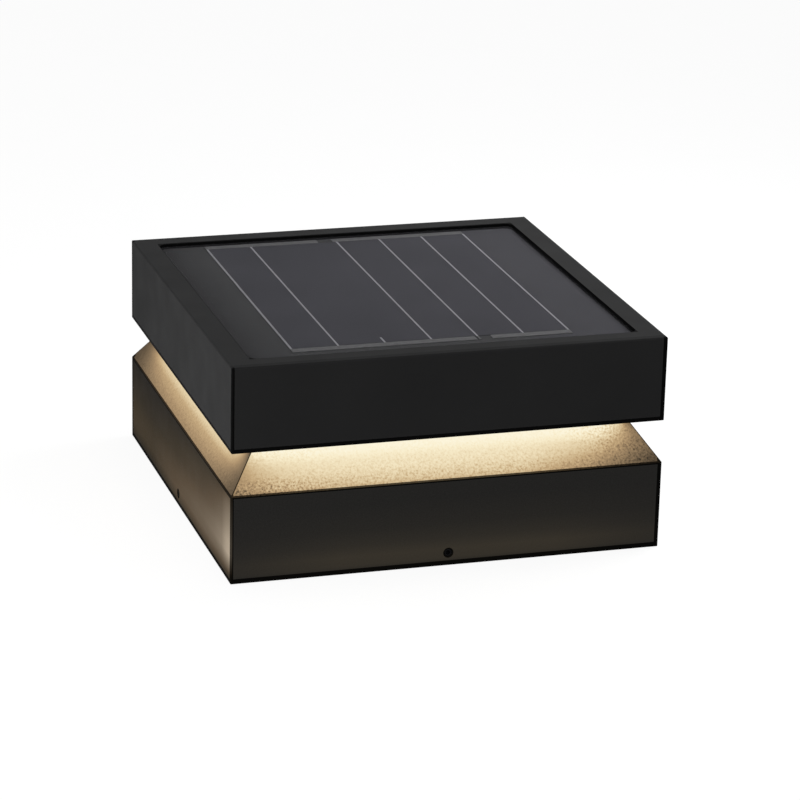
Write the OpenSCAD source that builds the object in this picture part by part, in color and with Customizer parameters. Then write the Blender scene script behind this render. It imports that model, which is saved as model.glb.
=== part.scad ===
// Solar post cap light for a square deck post. Millimetres, +Z up, origin at the centre of the
// base's lower rim, so the front of the light faces -Y and its right side +X.
// A hollow base drops over the post. A square head stands on the base's sloped shoulder,
// carries the solar panel on top, and lights the shoulder from a ring of LEDs in its underside.

/* [Outer body] */
// Height of the base's straight skirt
skirt_h = 30.5; // [29:0.5:36]
// Height of the light gap between the skirt and the head
gap_h = 15; // [13:0.5:18]
// Height of the head
head_h = 29.5; // [28:0.5:34]
// Wall of the two castings
wall = 2.5; // [2:0.1:3]
// Radius of the castings' outer edges
edge_r = 0.6; // [0.4:0.1:1.2]
// Rise of the shoulder for each millimetre that it runs inward
slope_k = 1.36; // [1.24:0.02:1.5]

/* [Post socket] */
// Real width of the square post that the base drops over
post_w = 139.7; // [134:0.1:155]
// Room between the post and the skirt, on each side
post_gap = 2.65; // [2.2:0.05:4]
// Depth that the post reaches into the base, up to the stop ribs
socket_depth = 30; // [26:0.5:31]
// Thickness of each stop rib
rib_t = 2.5; // [2:0.1:4]
// Distance of each stop rib from the middle of its side
rib_offset = 35; // [25:1:42]
// Length of a stop rib that bears on the post
rib_bearing = 12; // [8:0.5:14]

/* [Set screws] */
// Nominal diameter of a set screw
set_screw_d = 3; // [3:0.1:4]
// Length of a set screw
set_screw_len = 4; // [3:0.1:4]
// Height of the set screws above the lower rim
set_screw_z = 4.6; // [4.4:0.1:8]
// Thickness of the cast boss behind each set screw
set_boss_t = 1.8; // [1.4:0.1:1.9]
// Diameter of that boss
set_boss_d = 7; // [6:0.5:8]
// Width across the flats of the hex socket
set_hex_af = 1.5; // [1.3:0.1:2]

/* [Solar panel] */
// Width of the rim round the recess in the head's top
rim_w = 8; // [7:0.5:11]
// Corner radius of the recess
recess_r = 3; // [1:0.5:6]
// Depth of the panel's face below the rim
panel_drop = 0.9; // [0.6:0.1:2]
// Gap between the panel and the recess, all round
panel_gap = 0.5; // [0.3:0.1:1]
// Thickness of the clear sheet over the cells
cover_t = 0.5; // [0.3:0.1:1.2]
// Thickness of the cells
cell_t = 0.3; // [0.2:0.05:0.5]
// Thickness of the circuit board behind the cells
backboard_t = 1.6; // [0.8:0.1:2]
// Number of cell strips
cell_count = 6; // [4:1:8]
// Bare border of the panel to the left of the cells
border_left = 16.5; // [3:0.5:24]
// Bare border of the panel to the right of the cells
border_right = 20; // [3:0.5:24]
// Bare border of the panel in front of the cells
border_front = 7.5; // [3:0.5:16]
// Bare border of the panel behind the cells
border_back = 1; // [0.5:0.5:16]
// Bare line between two strips
cell_line = 0.7; // [0.4:0.1:1]
// Width of the tinned bars across the strips' ends
bus_w = 3.6; // [1.5:0.1:5]
// Thickness of the sealant bead under the panel
seal_t = 0.6; // [0.4:0.1:1]
// Width of that bead
seal_w = 5; // [3:0.5:8]

/* [Head inside] */
// Thickness of the recess floor
deck_t = 2; // [1.5:0.1:3]
// Height of the tray's underside above the head's lower edge
tray_up = 7; // [6.5:0.1:8]
// Thickness of the tray
tray_t = 2; // [1.6:0.1:3]
// Clearance round the tray and the diffuser inside the head
tray_gap = 0.3; // [0.2:0.05:0.5]
// Thickness of the tray's gasket
gasket_t = 1; // [0.6:0.1:1.5]
// Width of the ledge in the head that the gasket seals against
ledge_w = 4; // [3:0.1:4.5]
// Thickness of that ledge
ledge_t = 2; // [1.5:0.1:3]
// Diameter of the bosses and standoffs that take the larger screws
boss_d = 9; // [8:0.5:10]

/* [Lamp ring] */
// Height of the diffuser's face above the head's lower edge
diffuser_up = 2.8; // [2:0.1:3.2]
// Thickness of the diffuser's face
diffuser_t = 1.5; // [1:0.1:1.8]
// Thickness of the diffuser's side walls
diffuser_wall = 1.2; // [0.8:0.1:1.4]
// Gap between the diffuser and the shoulder
diffuser_gap = 0.4; // [0.3:0.1:0.8]
// Number of LEDs on each side
led_count = 8; // [4:1:10]
// Distance from one LED to the next
led_pitch = 15; // [10:0.5:16]
// Width of an LED board
led_board_w = 5.6; // [5:0.1:6]
// Thickness of an LED board
led_board_t = 1; // [0.8:0.1:1.2]
// Size of an LED: length, width, height
led_size = [3.5, 2.8, 0.7];

/* [Battery] */
// Diameter of the cell
cell_d = 18.3; // [18:0.1:18.6]
// Length of the cell with its button
cell_l = 65; // [64:0.1:66]
// Distance of the battery box behind the middle
battery_y = 18; // [16:1:20]
// Wall of the battery box
box_wall = 2.5; // [2:0.1:3]
// Solid block at each end of the box, which takes a door screw
box_block = 9.5; // [9:0.5:10]
// Flange of the box on the tray
box_flange = [2.5, 1.5];
// Thickness of the battery door
door_t = 2; // [1.6:0.1:3]
// Thickness of the door's gasket
door_seal_t = 0.6; // [0.4:0.1:1]
// Free length of the negative contact's spring as fitted
contact_spring_l = 4.6; // [4:0.1:6]

/* [Switch] */
// Diameter of the button
button_d = 8; // [7:0.1:8.4]
// Length of the button that stands out of its bezel
button_out = 2; // [1.6:0.1:3]
// Travel of the button
button_travel = 1.5; // [1:0.1:1.6]
// Diameter of the bezel's flange
bezel_d = 16; // [15:0.5:18]
// Diameter of the threaded barrel
barrel_d = 12; // [11.6:0.1:13]

/* [Control board] */
// Size of the board: length, width, thickness
board_size = [52, 38, 1.6];
// Room between the board and the tray's nearest boss
board_room = 3.5; // [2:0.5:5]
// Room for the leads between the board and the battery box
lead_room = 13; // [10:1:15]
// Room for the leads between the board and the switch's nut
switch_lead_room = 8.8; // [7:0.1:10]
// Height of the board's standoffs
standoff_h = 4; // [3:0.5:5]
// Diameter of the insulated leads
lead_d = 1.2; // [0.8:0.1:1.4]

/* [Hidden] */
$fn = 48;
eps = 0.01;
past = 1;                        // how far a cutter runs past a face
thread_gap = 0.05;               // radial room between a screw and its hole
seat_gap = 0.3;                  // room round a piece that drops into a window

body_w = post_w + 2 * (post_gap + wall);
half_w = body_w / 2;
head_z = skirt_h + gap_h;
total_h = head_z + head_h;
tray_z = head_z + tray_up;
tray_top = tray_z + tray_t;
cavity_half = half_w - wall;
tray_half = cavity_half - tray_gap;

// Half width of the shoulder, outside and inside, at a height
function slope_half(z) = half_w - (z - skirt_h) / slope_k;
function inner_half(z) = slope_half(z) - wall * sqrt(1 + slope_k * slope_k) / slope_k;
inner_bend_z = skirt_h + slope_k * wall - wall * sqrt(1 + slope_k * slope_k);
plate_z = tray_z - wall;         // underside of the base's top plate

// Panel stack, from its face down to the recess floor
recess_w = body_w - 2 * rim_w;
panel_half = recess_w / 2 - panel_gap;
cover_z = total_h - panel_drop - cover_t;
cell_z = cover_z - cell_t;
backboard_z = cell_z - backboard_t;
deck_z = backboard_z - seal_t;
deck_under = deck_z - deck_t;
seal_inset = 1.5;
field_w = 2 * panel_half - border_left - border_right;
cell_pitch = field_w / cell_count;
cell_len = 2 * panel_half - border_front - border_back;
cell_inset = bus_w + 0.4;        // the strips end this far inside the field
bus_break = 5.5;                 // length of the break in each bar
break_back = cell_pitch * 2.6;   // where the back bar breaks off
break_front = cell_pitch * 3.95; // where the front bar breaks off
stub_l = 9;
// Length of a line between the strips, by its number: the third is only a stub
function line_length(i) = i == 2 ? stub_l : cell_len;

ledge_z = tray_top + gasket_t;
gasket_half = tray_half - 0.2;
gasket_w = ledge_w - 0.8;
rim_core_wall = 2;               // wall left between the recess and the cored rim

tray_screw_xy = slope_half(tray_z) - 4;
tray_screw_d = 3;
tray_screw_l = 12;
countersink_r = 3;
countersink_h = 1.6;
base_screw_d = 4;
base_screw_l = 12;
base_screw_head = [8, 2.6];       // diameter and height
washer = [9, 0.8];
base_screw_x = inner_half(plate_z) - 7.5;
base_screw_y = inner_half(plate_z) - 11.5;
tray_boss_h = base_screw_l - washer[1] - wall - tray_t + 1.8;

small_screw_d = 2.5;
small_head = [4.6, 1.6];         // diameter and height of the small screws' heads

diffuser_z = head_z + diffuser_up;
channel_out = tray_half - diffuser_wall;
channel_in = slope_half(diffuser_z) + diffuser_gap + diffuser_wall;
led_mid = (channel_out + channel_in) / 2;
led_board_z = tray_z - led_board_t;
led_board_l = 2 * (led_mid - led_board_w / 2) - 4;
jumper_d = 0.8;
jumper_half_pitch = 1.2;
feed_hole_r = 2;                 // the lamp ring's leads pass the tray here
feed_y = -(tray_half - gasket_w - 0.2 - feed_hole_r - 0.5);

// Battery box, which hangs through the tray and the base's top plate
contact_t = 0.4;
contact_dome = 0.6;
box_in = [cell_l + contact_spring_l + 2 * contact_t + contact_dome, cell_d + 3.7];
box_out = [box_in[0] + 2 * box_block, box_in[1] + 2 * box_wall];
box_top = tray_top + box_flange[1];
box_ceiling = box_top - 2;
cell_room = 0.35;
cell_axis_z = box_ceiling - cell_room - cell_d / 2;
door_top = cell_axis_z - cell_d / 2 - cell_room;
rim_z = door_top + door_seal_t;
door_screw_x = box_in[0] / 2 + box_block / 2;
door_screw_l = 8;
cell_button = [6, 1.2];
grip_w = 1.2;                    // grooves across the door
grip_depth = 0.6;
grip_pitch = 4;
cell_plus_x = box_in[0] / 2 - contact_t - contact_dome;
cell_minus_x = cell_plus_x - cell_l;
tab_w = 5;
tab_top = box_top + 3;
lead_tab_z = box_top + 1.5;

// Switch, from its button up to its terminals
switch_seal_t = 0.5;
flange_t = 2.5;
flange_z = tray_z - switch_seal_t - flange_t;
button_gap = 0.1;
bezel_bevel = 0.6;
lip_t = 3.3;
collar = [button_d + 1.4, 1];    // the button's own collar, kept in by the bezel's lip
collar_z = flange_z + lip_t + button_gap;
barrel_top = tray_top + 4.5;
chamber_r = collar[0] / 2 + 0.2;
nut_t = 2.5;
nut_af = 16;
switch_rear_h = 5;
lug = [0.8, 2.2, 2.2];
lug_half_pitch = 2.6;
lug_mid_z = barrel_top + switch_rear_h + lug[2] / 2;

board_z = tray_top + standoff_h;
board_top = board_z + board_size[2];
board_edge = 3;                  // from the centre of a screw hole to the board's edge
board_hole = [board_size[0] / 2 - board_edge, board_size[1] / 2 - board_edge];
board_xy = [board_room + boss_d / 2 - base_screw_x + board_size[0] / 2,
  battery_y - box_out[1] / 2 - box_flange[0] - lead_room - board_size[1] / 2];
back_edge_y = board_xy[1] + board_size[1] / 2;
front_edge_y = board_xy[1] - board_size[1] / 2;
right_edge_x = board_xy[0] + board_size[0] / 2;
switch_xy = [right_edge_x + switch_lead_room + nut_af / cos(30) / 2, board_xy[1] + 10];

chip = [7, 1.2];                 // width and height of each of these
inductor = [8, 4];
inductor_core_r = 2.6;
capacitor = [5.2, 5.5];
capacitor_x = [9 - board_hole[0], board_hole[0] - 8];
connector = [7, 5, 4];
connector_mid_z = board_top + connector[2] / 2;
panel_plug_x = board_xy[0] - board_hole[0] + 7;
battery_plug_x = board_xy[0] + board_hole[0] - 13;
feed_x = board_xy[0] - 8;
switch_plug_y = board_xy[1] + 2;
lead_half_pitch = 1.1;           // the two leads of a pair lie this far either side of its line
lead_run = 8;                    // about how far a lead keeps its direction before it bends
grommet_xy = [panel_plug_x + 2, back_edge_y + 15];
grommet_r = 4;

post_stop_half = post_w / 2 - rib_bearing;
set_tip_x = cavity_half - set_boss_t;
set_r = set_screw_d / 2;
set_bevel = 0.35;

// ---------- Shapes used more than once ----------

module rounded_rect(size, r) {
  square([size[0] - 2 * r, size[1]], center = true);
  square([size[0], size[1] - 2 * r], center = true);
  for (x = [-1, 1], y = [-1, 1])
    translate([x * (size[0] / 2 - r), y * (size[1] / 2 - r)]) circle(r);
}

// What its child and its child turned a quarter have in common
module both_ways() {
  intersection() {
    children();
    rotate(90) children();
  }
}

// Square block with every outer edge rounded, standing on z = 0
module soft_block(w, h, r) {
  intersection() {
    linear_extrude(h) rounded_rect([w, w], r);
    both_ways() rotate([90, 0, 0]) translate([0, h / 2, -w / 2])
      linear_extrude(w) rounded_rect([w, h], r);
  }
}

module square_ring(out_half, in_half, h) {
  difference() {
    translate([-out_half, -out_half, 0]) cube([2 * out_half, 2 * out_half, h]);
    translate([-in_half, -in_half, -past]) cube([2 * in_half, 2 * in_half, h + 2 * past]);
  }
}

// Its child, drawn for the right side, on all four sides
module on_each_side() for (turn = [0:3]) rotate(90 * turn) children();

module centred_box(size) translate([-size[0] / 2, -size[1] / 2, 0]) cube(size);

module at_corners(x, y) for (i = [-1, 1], j = [-1, 1]) translate([i * x, j * y, 0]) children();

module cross_recess(across, depth) {
  blade = across / 5;
  for (a = [0, 90]) rotate(a) translate([-across / 2, -blade / 2, -past])
    cube([across, blade, depth + past]);
}

// Pan-head screw driven upward: its head hangs below z = 0
module pan_screw(d, l, head) {
  difference() {
    union() {
      cylinder(h = l, d = d);
      translate([0, 0, -head[1] * 0.55]) cylinder(h = head[1] * 0.55, d = head[0]);
      translate([0, 0, -head[1]]) cylinder(h = head[1] * 0.45, d1 = head[0] * 0.72, d2 = head[0]);
    }
    translate([0, 0, -head[1]]) cross_recess(head[0] * 0.55, head[1] * 0.55);
  }
}

// Countersunk screw driven upward, its head flush with z = 0
module flush_screw(d, l) {
  difference() {
    union() {
      cylinder(h = l, d = d);
      cylinder(h = countersink_h - thread_gap, r1 = countersink_r - thread_gap, r2 = d / 2);
    }
    cross_recess(countersink_r * 1.1, countersink_h * 0.7);
  }
}

// Points of a curve that leaves a towards b and arrives at d from c
function curve(a, b, c, d, n) = [for (i = [0:n]) let (t = i / n, s = 1 - t)
  s * s * s * a + 3 * s * s * t * b + 3 * s * t * t * c + t * t * t * d];
function unit(v) = v / norm(v);

// Round tube through points, with the tube's direction and a sideways reference at each
module tube(points, ways, refs, d, sides = 8) {
  last = len(points) - 1;
  rings = [for (i = [0:last])
    let (v = unit(cross(ways[i], refs[i])), u = cross(v, ways[i]), step = 360 / sides)
    for (k = [0:sides - 1]) points[i] + d / 2 * (cos(step * k) * u + sin(step * k) * v)];
  walls = [for (i = [0:last - 1], k = [0:sides - 1])
    let (a = i * sides + k, b = i * sides + (k + 1) % sides)
    each [[a, a + sides, b + sides], [a, b + sides, b]]];
  start = [for (k = [0:sides - 1]) k];
  end = [for (k = [sides - 1:-1:0]) last * sides + k];
  polyhedron(rings, concat(walls, [start, end]), convexity = 8);
}

// Lead that leaves a towards b and arrives at d from c, with ref square to its bends
module lead(a, b, c, d, ref, steps = 14) {
  points = curve(a, b, c, d, steps);
  ways = [for (i = [0:steps]) i == 0 ? unit(b - a) : i == steps ? unit(d - c)
    : unit(points[i + 1] - points[i - 1])];
  tube(points, ways, [for (i = [0:steps]) ref], lead_d);
}

// Coil spring standing on z = 0, round +Z
module coil(r_low, r_high, wire, h, turns) {
  steps = 12 * turns;
  climb = (h - wire) / (2 * PI * turns * (r_low + r_high) / 2);
  angles = [for (i = [0:steps]) 360 * turns * i / steps];
  points = [for (i = [0:steps]) let (r = r_low + (r_high - r_low) * i / steps)
    [r * cos(angles[i]), r * sin(angles[i]), wire / 2 + (h - wire) * i / steps]];
  ways = [for (a = angles) unit([-sin(a), cos(a), climb])];
  refs = [for (a = angles) [cos(a), sin(a), 0]];
  tube(points, ways, refs, wire);
}

// ---------- Base ----------

module base_outer() {
  intersection() {
    both_ways() rotate([90, 0, 0]) translate([0, 0, -half_w]) linear_extrude(body_w) {
      top = slope_half(tray_z);
      polygon([[edge_r - half_w, 0], [half_w - edge_r, 0], [half_w, edge_r],
        [half_w, skirt_h], [top, tray_z], [-top, tray_z], [-half_w, skirt_h],
        [-half_w, edge_r]]);
      for (x = [-1, 1]) translate([x * (half_w - edge_r), edge_r]) circle(edge_r);
    }
    linear_extrude(tray_z + past) rounded_rect([body_w, body_w], edge_r);
  }
}

module base_hollow() {
  both_ways() rotate([90, 0, 0]) translate([0, 0, -half_w]) linear_extrude(body_w) {
    top = inner_half(plate_z);
    polygon([[-cavity_half, -past], [cavity_half, -past], [cavity_half, inner_bend_z],
      [top, plate_z], [-top, plate_z], [-cavity_half, inner_bend_z]]);
  }
}

module stop_ribs() {
  intersection() {
    base_outer();
    on_each_side() for (s = [-1, 1])
      translate([post_stop_half, s * rib_offset - rib_t / 2, socket_depth])
        cube([half_w - wall / 2 - post_stop_half, rib_t, plate_z + wall / 2 - socket_depth]);
  }
}

module base_housing() {
  color([0.08, 0.08, 0.085]) difference() {
    union() {
      difference() {
        base_outer();
        base_hollow();
      }
      stop_ribs();
      on_each_side() translate([set_tip_x, 0, set_screw_z]) rotate([0, 90, 0])
        cylinder(h = set_boss_t + wall / 2, d = set_boss_d);
    }
    on_each_side() translate([set_tip_x - past, 0, set_screw_z]) rotate([0, 90, 0])
      cylinder(h = set_boss_t + wall + 2 * past, r = set_r);
    at_corners(base_screw_x, base_screw_y) translate([0, 0, plate_z - past])
      cylinder(h = wall + 2 * past, d = base_screw_d + 0.4);
    translate([0, battery_y, plate_z - past])
      centred_box([box_out[0] + 2 * seat_gap, box_out[1] + 2 * seat_gap, wall + 2 * past]);
    translate([switch_xy[0], switch_xy[1], plate_z - past])
      cylinder(h = wall + 2 * past, d = bezel_d + 2);
  }
}

module base_screws() {
  color("silver") at_corners(base_screw_x, base_screw_y)
    translate([0, 0, plate_z - washer[1]]) pan_screw(base_screw_d, base_screw_l, base_screw_head);
}

module base_screw_washers() {
  color("silver") at_corners(base_screw_x, base_screw_y) translate([0, 0, plate_z - washer[1]])
    difference() {
      cylinder(h = washer[1], d = washer[0]);
      translate([0, 0, -past]) cylinder(h = washer[1] + 2 * past, d = base_screw_d + 0.3);
    }
}

// Hex-socket set screw of the right side, its tip level with the boss behind the skirt
module set_screw() {
  r = set_r - thread_gap;
  hex_depth = set_screw_len * 0.35;
  color([0.16, 0.16, 0.17]) translate([set_tip_x, 0, set_screw_z]) rotate([0, 90, 0])
    difference() {
      union() {
        cylinder(h = set_bevel, r1 = r - set_bevel, r2 = r);
        translate([0, 0, set_bevel]) cylinder(h = set_screw_len - 2 * set_bevel, r = r);
        translate([0, 0, set_screw_len - set_bevel])
          cylinder(h = set_bevel, r1 = r, r2 = r - set_bevel / 2);
      }
      translate([0, 0, set_screw_len - hex_depth])
        cylinder(h = hex_depth + past, d = set_hex_af / cos(30), $fn = 6);
    }
}

module set_screw_front() rotate(-90) set_screw();
module set_screw_back() rotate(90) set_screw();
module set_screw_left() rotate(180) set_screw();
module set_screw_right() set_screw();

// ---------- Head ----------

module head_housing() {
  color([0.07, 0.07, 0.075]) difference() {
    union() {
      difference() {
        translate([0, 0, head_z]) soft_block(body_w, head_h, edge_r);
        translate([0, 0, head_z - past])
          centred_box([2 * cavity_half, 2 * cavity_half, deck_under - head_z + past]);
        translate([0, 0, deck_under - past])
          square_ring(cavity_half, recess_w / 2 + rim_core_wall,
            total_h - wall - deck_under + past);
        translate([0, 0, deck_z]) linear_extrude(total_h - deck_z + past)
          rounded_rect([recess_w, recess_w], recess_r);
      }
      translate([0, 0, ledge_z]) square_ring(half_w - wall / 2, cavity_half - ledge_w, ledge_t);
      at_corners(tray_screw_xy, tray_screw_xy) translate([0, 0, tray_top])
        cylinder(h = deck_under - tray_top + deck_t / 2, d = boss_d);
    }
    at_corners(tray_screw_xy, tray_screw_xy) translate([0, 0, tray_top - past])
      cylinder(h = tray_screw_l - tray_t + 1 + past, d = tray_screw_d + 2 * thread_gap);
    translate([grommet_xy[0], grommet_xy[1], deck_under - past])
      cylinder(h = deck_t + 2 * past, r = grommet_r);
  }
}

module panel_cover() {
  color([0.55, 0.6, 0.65, 0.25]) translate([0, 0, cover_z]) linear_extrude(cover_t)
    rounded_rect([2 * panel_half, 2 * panel_half], max(recess_r - panel_gap, 0.5));
}

// From the left front corner of the cell field
module at_cell_field() {
  translate([border_left - panel_half, border_front - panel_half, cell_z]) children();
}

module solar_cells() {
  color([0.05, 0.05, 0.08]) at_cell_field() difference() {
    translate([cell_line / 2, cell_inset, 0])
      cube([field_w - cell_line, cell_len - 2 * cell_inset, cell_t]);
    for (i = [1:cell_count - 1]) translate([i * cell_pitch - cell_line / 2, 0, -past])
      cube([cell_line, line_length(i), cell_t + 2 * past]);
  }
}

// Tinned lines between the strips, and the bars across their ends, each with one break
module cell_ribbons() {
  line_w = cell_line * 0.9;
  color([0.5, 0.5, 0.52]) at_cell_field() {
    for (i = [0:cell_count]) translate([i * cell_pitch - line_w / 2, 0, 0])
      cube([line_w, line_length(i), cell_t]);
    for (bar = [[0, break_front], [cell_len - bus_w, break_back]])
      translate([-line_w / 2, bar[0], 0]) {
        cube([bar[1], bus_w, cell_t]);
        translate([bar[1] + bus_break, 0, 0])
          cube([field_w + line_w - bar[1] - bus_break, bus_w, cell_t]);
      }
  }
}

module panel_backboard() {
  color([0.03, 0.03, 0.035]) translate([0, 0, backboard_z]) linear_extrude(backboard_t)
    rounded_rect([2 * panel_half, 2 * panel_half], max(recess_r - panel_gap, 0.5));
}

module panel_seal() {
  color([0.12, 0.12, 0.12]) translate([0, 0, deck_z])
    square_ring(panel_half - seal_inset, panel_half - seal_inset - seal_w, seal_t);
}

module wire_grommet() {
  bore = lead_half_pitch + lead_d / 2 + 0.25;
  flange = [grommet_r + 1.2, 0.9];
  color([0.1, 0.1, 0.1]) translate([grommet_xy[0], grommet_xy[1], deck_under - flange[1]])
    difference() {
      union() {
        cylinder(h = flange[1], r = flange[0]);
        cylinder(h = flange[1] + deck_t, r = grommet_r - thread_gap);
      }
      translate([0, 0, -past]) cylinder(h = deck_t + flange[1] + 2 * past, r = bore);
    }
}

module light_tray() {
  boss_top = tray_top + tray_boss_h;
  color([0.6, 0.6, 0.62]) difference() {
    union() {
      translate([0, 0, tray_z]) centred_box([2 * tray_half, 2 * tray_half, tray_t]);
      at_corners(base_screw_x, base_screw_y) translate([0, 0, tray_z + tray_t / 2])
        cylinder(h = boss_top - tray_z - tray_t / 2, d = boss_d);
      translate([board_xy[0], board_xy[1], tray_z + tray_t / 2])
        at_corners(board_hole[0], board_hole[1]) cylinder(h = standoff_h + tray_t / 2, d = 5);
    }
    at_corners(base_screw_x, base_screw_y) translate([0, 0, tray_z - past])
      cylinder(h = base_screw_l - washer[1] - wall + 0.5 + past, d = base_screw_d + 2 * thread_gap);
    translate([board_xy[0], board_xy[1], tray_top + 0.4]) at_corners(board_hole[0], board_hole[1])
      cylinder(h = standoff_h + past, d = small_screw_d + 2 * thread_gap);
    at_corners(tray_screw_xy, tray_screw_xy) translate([0, 0, tray_z]) {
      translate([0, 0, -past]) cylinder(h = tray_t + 2 * past, d = tray_screw_d + 0.2);
      cylinder(h = countersink_h, r1 = countersink_r, r2 = tray_screw_d / 2);
      translate([0, 0, -past]) cylinder(h = past + eps, r = countersink_r);
    }
    translate([0, battery_y, tray_z - past])
      centred_box([box_out[0] + 2 * seat_gap, box_out[1] + 2 * seat_gap, tray_t + 2 * past]);
    translate([switch_xy[0], switch_xy[1], tray_z - past])
      cylinder(h = tray_t + 2 * past, d = barrel_d + 0.2);
    translate([feed_x, feed_y, tray_z - past]) cylinder(h = tray_t + 2 * past, r = feed_hole_r);
  }
}

module tray_gasket() {
  color([0.2, 0.2, 0.2]) translate([0, 0, tray_top])
    square_ring(gasket_half, gasket_half - gasket_w, gasket_t);
}

module tray_screws() {
  color("silver") at_corners(tray_screw_xy, tray_screw_xy) translate([0, 0, tray_z])
    flush_screw(tray_screw_d, tray_screw_l);
}

// ---------- Lamp ring ----------

// Channel-shaped frame, open towards the tray
module diffuser_frame() {
  color([0.95, 0.93, 0.86]) translate([0, 0, diffuser_z]) {
    square_ring(tray_half, channel_in - diffuser_wall, diffuser_t);
    square_ring(tray_half, channel_out, tray_z - diffuser_z);
    square_ring(channel_in, channel_in - diffuser_wall, tray_z - diffuser_z);
  }
}

// The board and the LEDs of the right side
module led_board() {
  color([0.9, 0.9, 0.88]) translate([led_mid - led_board_w / 2, -led_board_l / 2, led_board_z])
    cube([led_board_w, led_board_l, led_board_t]);
}

module led_chips() {
  color([1, 0.9, 0.6]) for (i = [0:led_count - 1])
    translate([led_mid - led_size[1] / 2,
      (i - (led_count - 1) / 2) * led_pitch - led_size[0] / 2, led_board_z - led_size[2]])
      cube([led_size[1], led_size[0], led_size[2]]);
}

module led_board_front() rotate(-90) led_board();
module led_board_back() rotate(90) led_board();
module led_board_left() rotate(180) led_board();
module led_board_right() led_board();
module led_chips_front() rotate(-90) led_chips();
module led_chips_back() rotate(90) led_chips();
module led_chips_left() rotate(180) led_chips();
module led_chips_right() led_chips();

// Pairs of short links round three corners, from the end of one board to the end of the next
module led_jumpers() {
  color([0.8, 0.1, 0.1]) for (turn = [-1:1], s = [-1, 1]) rotate(90 * turn)
    translate([0, 0, led_board_z + led_board_t / 2]) {
      x = led_mid + s * jumper_half_pitch;
      translate([x, led_board_l / 2, 0]) rotate([-90, 0, 0])
        cylinder(h = x - led_board_l / 2, d = jumper_d);
      translate([led_board_l / 2, x, 0]) rotate([0, 90, 0])
        cylinder(h = x - led_board_l / 2, d = jumper_d);
      translate([x, x, 0]) sphere(d = jumper_d);
    }
}

// ---------- Battery ----------

module battery_box() {
  slot = contact_t + 0.1;
  color([0.12, 0.12, 0.13]) translate([0, battery_y, 0]) difference() {
    union() {
      translate([0, 0, rim_z]) centred_box([box_out[0], box_out[1], box_top - rim_z]);
      translate([0, 0, tray_top]) centred_box([box_out[0] + 2 * box_flange[0],
        box_out[1] + 2 * box_flange[0], box_flange[1]]);
    }
    translate([0, 0, rim_z - past]) centred_box([box_in[0], box_in[1], box_ceiling - rim_z + past]);
    for (s = [-1, 1]) {
      translate([s * (box_in[0] / 2 - slot / 2), 0, box_ceiling - past])
        centred_box([slot, tab_w + 0.2, box_top - box_ceiling + 2 * past]);
      translate([s * door_screw_x, 0, rim_z - past])
        cylinder(h = door_screw_l + past, d = small_screw_d + 2 * thread_gap);
    }
  }
}

module battery_cell() {
  color([0.1, 0.35, 0.6]) translate([cell_minus_x, battery_y, cell_axis_z]) rotate([0, 90, 0]) {
    cylinder(h = cell_l - cell_button[1], d = cell_d);
    translate([0, 0, cell_l - cell_button[1] - eps])
      cylinder(h = cell_button[1] + eps, d = cell_button[0]);
  }
}

// Flat plate against one end of the box, with a tab up through its slot
module contact_plate() {
  plate = [contact_t, cell_d * 0.6, cell_d * 0.6];
  translate([-contact_t, -plate[1] / 2, cell_axis_z - plate[2] / 2]) cube(plate);
  translate([-contact_t, -tab_w / 2, cell_axis_z]) cube([contact_t, tab_w, tab_top - cell_axis_z]);
}

module battery_contact_plus() {
  color("silver") translate([box_in[0] / 2, battery_y, 0]) {
    contact_plate();
    translate([-contact_t - contact_dome, 0, cell_axis_z]) rotate([0, 90, 0])
      cylinder(h = contact_dome + contact_t / 2, d1 = 3, d2 = 5);
  }
}

module battery_contact_minus() {
  color("silver") translate([-box_in[0] / 2, battery_y, 0]) mirror([1, 0, 0]) contact_plate();
}

module battery_spring() {
  color("silver") translate([cell_minus_x - contact_spring_l, battery_y, cell_axis_z])
    rotate([0, 90, 0]) coil(5, 3.2, 0.6, contact_spring_l, 3);
}

module battery_door_seal() {
  color([0.75, 0.75, 0.72]) translate([0, battery_y, door_top]) difference() {
    centred_box([box_out[0] - 1, box_out[1] - 1, door_seal_t]);
    translate([0, 0, -past]) centred_box([box_in[0], box_in[1], door_seal_t + 2 * past]);
    for (s = [-1, 1]) translate([s * door_screw_x, 0, -past])
      cylinder(h = door_seal_t + 2 * past, d = small_screw_d + 0.4);
  }
}

module battery_door() {
  color([0.12, 0.12, 0.13]) translate([0, battery_y, door_top - door_t]) difference() {
    linear_extrude(door_t) rounded_rect([box_out[0], box_out[1]], 1.5);
    for (s = [-1, 1]) translate([s * door_screw_x, 0, -past])
      cylinder(h = door_t + 2 * past, d = small_screw_d + 0.4);
    for (i = [-2:2]) translate([i * grip_pitch, 0, -eps])
      centred_box([grip_w, box_out[1] / 2, grip_depth + eps]);
  }
}

module battery_door_screws() {
  color("silver") for (s = [-1, 1])
    translate([s * door_screw_x, battery_y, door_top - door_t])
      pan_screw(small_screw_d, door_t + door_seal_t + door_screw_l - 1.5, small_head);
}

// ---------- Switch ----------

module at_switch(z) translate([switch_xy[0], switch_xy[1], z]) children();

module switch_bezel() {
  color([0.75, 0.75, 0.77]) at_switch(flange_z) difference() {
    union() {
      cylinder(h = flange_t, d = bezel_d);
      cylinder(h = barrel_top - flange_z, d = barrel_d);
    }
    translate([0, 0, -past])
      cylinder(h = lip_t + 2 * past, d = button_d + 2 * button_gap);
    translate([0, 0, lip_t]) cylinder(h = barrel_top - flange_z, r = chamber_r);
    translate([0, 0, -eps]) cylinder(h = bezel_bevel + eps,
      d1 = button_d + 2 * (button_gap + bezel_bevel), d2 = button_d + 2 * button_gap);
  }
}

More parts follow.
